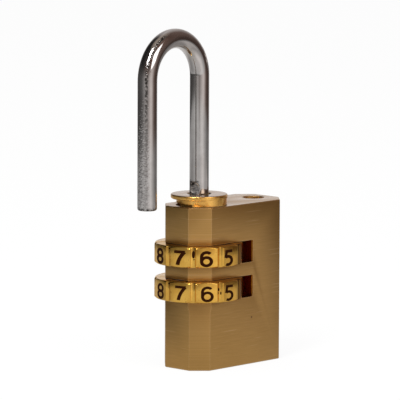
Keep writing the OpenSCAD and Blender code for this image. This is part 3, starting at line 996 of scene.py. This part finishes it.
def numeral_ring(level):
    """The ten painted numerals of one dial, each on its own face and shifted across it."""
    finish = settings().dials
    low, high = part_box("dial_" + level)
    middle = (low.z + high.z) / 2 - finish.numeral_drop
    bm = bmesh.new()
    for digit in range(10):
        verts = numeral_faces(bm, digit, finish, DIAL_PEN[level])
        bearing = math.radians(90) - FACE_ANGLE * digit
        stand_up = Matrix.Rotation(math.radians(90), 4, "X")
        face_out = Matrix.Rotation(bearing + math.radians(90), 4, "Z")
        across = left_at(bearing) * (DIAL_SHIFT[level] + SHIFTED.get(digit, 0))
        sunk = ahead_at(bearing) * (high.y - finish.ink_depth)
        place = Matrix.Translation(sunk + across + Vector((0, 0, middle)))
        bmesh.ops.transform(bm, verts=verts, matrix=place @ face_out @ stand_up)
    skins = bmesh.ops.extrude_face_region(bm, geom=bm.faces[:])["geom"]
    for vert in of_kind(skins, bmesh.types.BMVert):
        bearing = (round(math.atan2(vert.co.y, vert.co.x) / FACE_ANGLE - 0.5) + 0.5) * FACE_ANGLE
        vert.co += ahead_at(bearing) * (finish.ink_depth + INK_PROUD)
    bmesh.ops.recalc_face_normals(bm, faces=bm.faces)
    return written_out(bm, "numerals")


def ink_blots(level):
    """Drops of ink left in the grooves between the numerals of one dial."""
    low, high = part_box("dial_" + level)
    radius = high.x - GROOVE_DEPTH + BLOT_LIFT
    bm = bmesh.new()
    for dial, bearing, (across, up), (width, height) in INK_BLOTS:
        if dial != level:
            continue
        shape = Matrix.Diagonal((BLOT_THICKNESS, width, height, 1))
        place = Matrix.Translation((radius, across, (low.z + high.z) / 2 + up))
        turned = Matrix.Rotation(math.radians(bearing), 4, "Z")
        drop = bmesh.ops.create_uvsphere(bm, u_segments=16, v_segments=10, radius=0.5)["verts"]
        bmesh.ops.transform(bm, verts=drop, matrix=turned @ place @ shape)
    smooth(bm)
    return written_out(bm, "ink_blots")


# -------------------- operators


class PADLOCK_OT_block(bpy.types.Operator):
    """Finish the brass block with broken edges and brushed faces"""

    bl_idname = "padlock.block"
    bl_label = "Block"

    def execute(self, context):
        mesh = broken_edges("body", settings().block.edge_break)
        keep_piece("brushed_block", mesh, block_brass(), "root", ["body"])
        return {"FINISHED"}


class PADLOCK_OT_dials(bpy.types.Operator):
    """Finish the two number dials and paint their numerals"""

    bl_idname = "padlock.dials"
    bl_label = "Dials"

    def execute(self, context):
        brass = dial_brass()
        ink = numeral_ink()
        for level in ("upper", "lower"):
            node = "dial_" + level
            body = level + "_dial"
            mesh = broken_edges(node, settings().dials.edge_break, 20, 2)
            keep_piece("number_ring_" + level, mesh, brass, body, [node])
            keep_piece("numerals_" + level, numeral_ring(level), ink, body)
            keep_piece("ink_blots_" + level, ink_blots(level), ink, body)
        return {"FINISHED"}


class PADLOCK_OT_collar(bpy.types.Operator):
    """Polish the change collar"""

    bl_idname = "padlock.collar"
    bl_label = "Change Collar"

    def execute(self, context):
        mesh = broken_edges("change_collar", settings().collar.edge_break, 30, 2)
        keep_piece("polished_collar", mesh, collar_brass(), "collar", ["change_collar"])
        return {"FINISHED"}


class PADLOCK_OT_shackle(bpy.types.Operator):
    """Plate the shackle"""

    bl_idname = "padlock.shackle"
    bl_label = "Shackle"

    def execute(self, context):
        mesh = broken_edges("shackle", settings().shackle.edge_break, 30, 2)
        keep_piece("plated_shackle", mesh, shackle_plating(), "shackle", ["shackle"])
        return {"FINISHED"}


class PADLOCK_OT_works(bpy.types.Operator):
    """Give the springs, sleeves and washers inside the block their finishes"""

    bl_idname = "padlock.works"
    bl_label = "Works"

    def execute(self, context):
        finishes = {
            "body_brass": bpy.data.materials["Block Brass"],
            "inner_brass": inner_brass(),
            "spring_steel": spring_steel(),
        }
        for slot, nodes in CAD_FINISHES.items():
            for node in nodes:
                frame["nodes"][node].data.materials[0] = finishes[slot]
        coil_springs(finishes["spring_steel"])
        return {"FINISHED"}


def coil_springs(material):
    """Copies of the coil springs that the joints list to shorten along Z, in spring steel, attached to the root in
    place of their CAD nodes.
    """
    for joint in frame["joints"]:
        for spring in joint.get("deforming_nodes", ()):
            if spring["mode"] != "scale_z":
                continue
            node = spring["node"]
            mesh = frame["nodes"][node].data.copy()
            coil = keep_piece("coiled_" + node, mesh, material, "root", [node])
            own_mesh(coil)


class PADLOCK_OT_stage(bpy.types.Operator):
    """Set up the floor, the soft light and the camera"""

    bl_idname = "padlock.stage"
    bl_label = "Stage"

    def execute(self, context):
        lay_floor()
        light_room()
        hang_lamps()
        place_camera()
        context.scene.view_settings.view_transform = "Standard"
        return {"FINISHED"}


def lay_floor():
    bm = bmesh.new()
    bmesh.ops.create_grid(bm, x_segments=1, y_segments=1, size=settings().stage.floor_size / 2)
    mesh = written_out(bm, "floor")
    mesh.materials.append(paper_white())
    put_in_scene("floor", mesh)


FAR_START = (0.136, 0.150)      # distances over which the pale sheet's outer part takes over
# How the surroundings show in the metal: bearing to the right of the camera's side, brightness,
# and warmth. The floor is the pale sheet near the padlock and far is its outer part, low is the
# room just above it, and high is the room's upper part.
FLOOR_GLOW = (
    (-180, 0.80, 0.03), (-150, 0.75, 0.03), (-118, 0.36, 0.03), (-90, 0.36, 0.02), (-60, 0.54, 0.02),
    (-46, 0.70, 0.02), (-34, 0.70, 0.02), (-22, 0.64, 0.03), (0, 0.71, 0.06), (15, 0.72, 0.06),
    (30, 0.88, 0.06), (45, 0.93, 0.06), (60, 0.72, 0.06), (76, 0.46, 0.06), (86, 0.58, 0.08),
    (97, 0.60, 0.08), (108, 0.36, 0.08), (125, 0.30, 0.08), (150, 0.50, 0.04), (180, 0.80, 0.03),
)
FAR_GLOW = (
    (-180, 0.75, 0.03), (-150, 0.44, 0.02), (-110, 0.42, 0.01), (-80, 0.50, 0.01), (-50, 0.66, 0.01),
    (-8, 0.65, 0.02), (20, 0.86, 0.03), (36, 0.92, 0.03), (58, 0.62, 0.04), (82, 0.38, 0.04),
    (102, 0.22, 0.04), (130, 0.22, 0.04), (155, 0.50, 0.04), (180, 0.75, 0.03),
)
LOW_GLOW = (
    (-180, 0.78, 0.05), (-164, 0.66, 0.05), (-150, 0.09, 0.05), (-118, 0.07, 0.05), (-70, 0.12, 0.05),
    (-45, 0.26, 0.05), (-33, 0.42, 0.05), (-22, 0.46, 0.08), (0, 0.30, 0.15), (22, 0.62, 0.12),
    (45, 0.88, 0.12), (60, 0.60, 0.15), (78, 0.22, 0.35), (100, 0.07, 0.45), (135, 0.11, 0.35),
    (150, 0.55, 0.06), (180, 0.78, 0.05),
)
HIGH_GLOW = (
    (-180, 0.62, 0.08), (-165, 0.40, 0.10), (-150, 0.03, 0.10), (-110, 0.015, 0.10), (-60, 0.05, 0.15),
    (-30, 0.12, 0.45), (0, 0.15, 0.60), (30, 0.17, 0.60), (60, 0.22, 0.50), (90, 0.12, 0.50),
    (130, 0.18, 0.40), (180, 0.62, 0.08),
)


def bearing_place(vector):
    """Bearing of a direction or a place, from 0 behind the padlock through 0.5 at the camera's side."""
    place = parts(vector)
    bearing = maths("ARCTAN2", place["Y"], place["X"])
    return maths("FRACT", (bearing - bearing_angle(0)) / (2 * math.pi) + 0.5)


def glow_ramp(place, glow):
    """Colour by bearing, from a list of bearings with their brightness and warmth."""
    ramp = place.tree.nodes.new("ShaderNodeValToRGB")
    feed(ramp.inputs, {"Fac": place})
    stops = ramp.color_ramp.elements
    for index, (degrees, light, warmth) in enumerate(glow):
        position = (degrees + 180) / 360
        stop = stops[index] if index < 2 else stops.new(position)
        stop.position = position
        stop.color = (light, light * (1 - 0.75 * warmth), light * (1 - warmth), 1)
    return Wire(ramp.outputs["Color"])


def light_room():
    """White to the camera; in the metal a dim warm room with a pale backdrop behind the padlock."""
    world = bpy.data.worlds.new("Room")
    world.use_nodes = True
    bpy.context.scene.world = world
    tree = world.node_tree
    way = add(tree, "ShaderNodeTexCoord")["Generated"]
    place = bearing_place(way)
    height = parts(way)["Z"]
    walls = blend(remap(height, 0.06, 0.40), glow_ramp(place, LOW_GLOW), glow_ramp(place, HIGH_GLOW))
    mirrored = blend(remap(height, 0.85, 0.97), walls, CEILING)
    path = add(tree, "ShaderNodeLightPath")
    soft = blend(path["Is Glossy Ray"], (0.85, 0.85, 0.85), mirrored)
    seen = most(path["Is Camera Ray"], path["Is Transmission Ray"])
    feed(tree.nodes["Background"].inputs, {"Color": blend(seen, soft, (1, 1, 1))})


def hang_lamp(name, bearing, height, distance, size, energy):
    """A soft lamp, its size given across and up, aimed at the padlock from a bearing and a height."""
    rise = math.radians(height)
    away = ahead_at(bearing_angle(bearing)) * math.cos(rise) + Vector((0, 0, math.sin(rise)))
    lamp = bpy.data.lights.new(name, "AREA")
    lamp.shape = "RECTANGLE"
    lamp.size, lamp.size_y = size
    lamp.energy = energy
    holder = put_in_scene(name, lamp)
    holder.location = Vector(settings().stage.aim) + away * distance
    holder.rotation_mode = "QUATERNION"
    holder.rotation_quaternion = (-away).to_track_quat("-Z", "Y")


def hang_lamps():
    hang_lamp("key_lamp", -25, 50, 0.6, (0.13, 0.35), 2.2)
    hang_lamp("fill_lamp", 45, 30, 0.7, (0.4, 0.4), 1.2)


def place_camera():
    stage = settings().stage
    turn, tilt, roll = stage.turn, stage.tilt, stage.roll
    ahead = Vector((math.sin(turn) * math.cos(tilt), math.cos(turn) * math.cos(tilt), -math.sin(tilt)))
    right = Vector((math.cos(turn), -math.sin(turn), 0))
    up = right.cross(ahead)
    leaned_right = right * math.cos(roll) + up * math.sin(roll)
    leaned_up = up * math.cos(roll) - right * math.sin(roll)
    camera = bpy.data.cameras.new("camera")
    camera.lens = stage.lens
    camera.clip_start = 0.05
    camera.clip_end = 20
    holder = put_in_scene("camera", camera)
    framed = Vector(stage.aim) + leaned_right * stage.pan[0] + leaned_up * stage.pan[1]
    turned = Matrix((leaned_right, leaned_up, -ahead)).transposed().to_4x4()
    holder.matrix_world = Matrix.Translation(framed - ahead * stage.distance) @ turned
    bpy.context.scene.camera = holder


class PadlockSettings(bpy.types.PropertyGroup):
    """All settings of the padlock"""

    block: PointerProperty(type=BlockFinish)
    dials: PointerProperty(type=DialFinish)
    collar: PointerProperty(type=CollarFinish)
    shackle: PointerProperty(type=ShackleFinish)
    stage: PointerProperty(type=PadlockStage)


OPERATORS = (
    PADLOCK_OT_block, PADLOCK_OT_dials, PADLOCK_OT_collar, PADLOCK_OT_shackle,
    PADLOCK_OT_works, PADLOCK_OT_stage,
)


class PADLOCK_PT_panel(bpy.types.Panel):
    """Lists the padlock's operators and settings"""

    bl_idname = "PADLOCK_PT_panel"
    bl_label = "Padlock"
    bl_space_type = "VIEW_3D"
    bl_region_type = "UI"
    bl_category = "Padlock"

    def draw(self, context):
        for operator in OPERATORS:
            self.layout.operator(operator.bl_idname)
        for part in ("block", "dials", "collar", "shackle", "stage"):
            group = getattr(settings(), part)
            box = self.layout.box()
            for name in group.bl_rna.properties.keys():
                if name not in ("rna_type", "name"):
                    box.prop(group, name)


CLASSES = (
    BlockFinish, DialFinish, CollarFinish, ShackleFinish, PadlockStage, PadlockSettings,
    *OPERATORS, PADLOCK_PT_panel,
)


def register():
    for item in CLASSES:
        bpy.utils.register_class(item)
    bpy.types.Scene.padlock = PointerProperty(type=PadlockSettings)


def unregister():
    del bpy.types.Scene.padlock
    for item in reversed(CLASSES):
        bpy.utils.unregister_class(item)


def main():
    register()
    make_shared_effects()
    bpy.ops.padlock.block()
    bpy.ops.padlock.dials()
    bpy.ops.padlock.collar()
    bpy.ops.padlock.shackle()
    bpy.ops.padlock.works()
    bpy.ops.padlock.stage()


if __name__ == "__main__":
    main()
